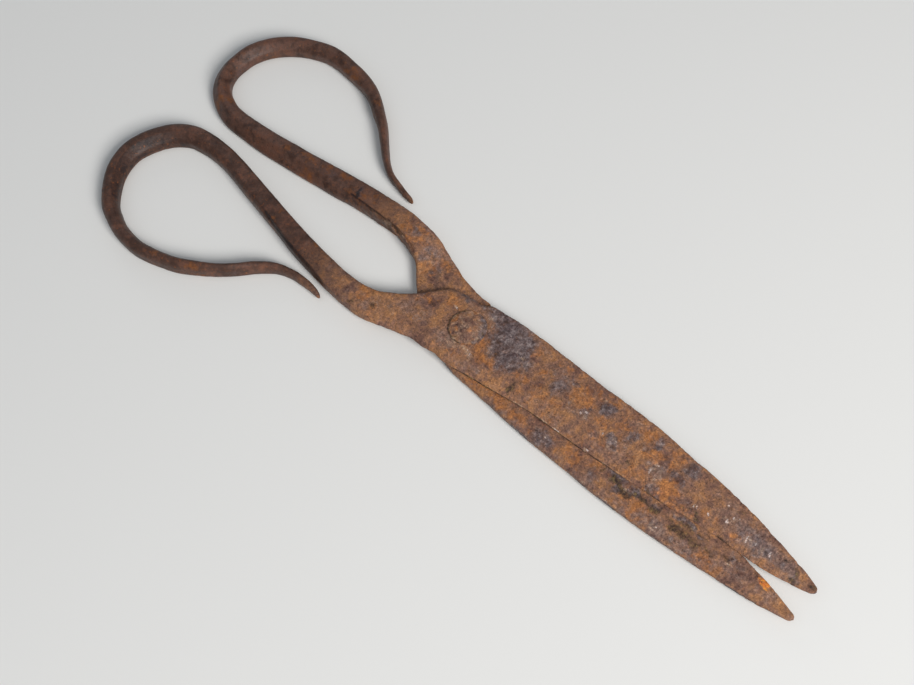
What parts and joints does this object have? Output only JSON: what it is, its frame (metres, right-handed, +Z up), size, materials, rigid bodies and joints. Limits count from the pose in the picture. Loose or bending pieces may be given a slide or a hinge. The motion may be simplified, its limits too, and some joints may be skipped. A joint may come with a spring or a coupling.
{
  "type": "fabric shears",
  "caption": "Old hand-forged iron shears for cloth: open-ended teardrop finger bows, tapering blades, and one low domed rivet that they turn on.",
  "frame": {"origin": "on the pivot axis, in the plane that the shears lie on, at the centre of the rivet tail's underside", "axes": "+X along the shears to the blade tips, +Z up out of the plane they lie on, +Y to the side of the lower half's bow"},
  "size_m": [0.2577, 0.0983, 0.0072],
  "materials": {
    "upper_iron": "forged iron, mottled orange-brown and slate rust, pitted, semi-matt",
    "lower_iron": "forged iron, chocolate-brown rust, pitted, semi-matt",
    "rivet_iron": "hammered rivet iron, brown rust, semi-matt",
    "burr_iron": "flat iron washer, brown rust, matt"
  },
  "bodies": {
    "lower": {"lower_half": "lower_iron", "pivot_rivet": "rivet_iron", "rivet_washer": "burr_iron"},
    "upper": {"upper_half": "upper_iron"}
  },
  "joints": [
    {"name": "pivot", "type": "hinge", "parent": "lower", "child": "upper", "pos_m": [0, 0, 0.0049], "axis": [0, 0, 1], "range_deg": [-2.8, 90]}
  ]
}
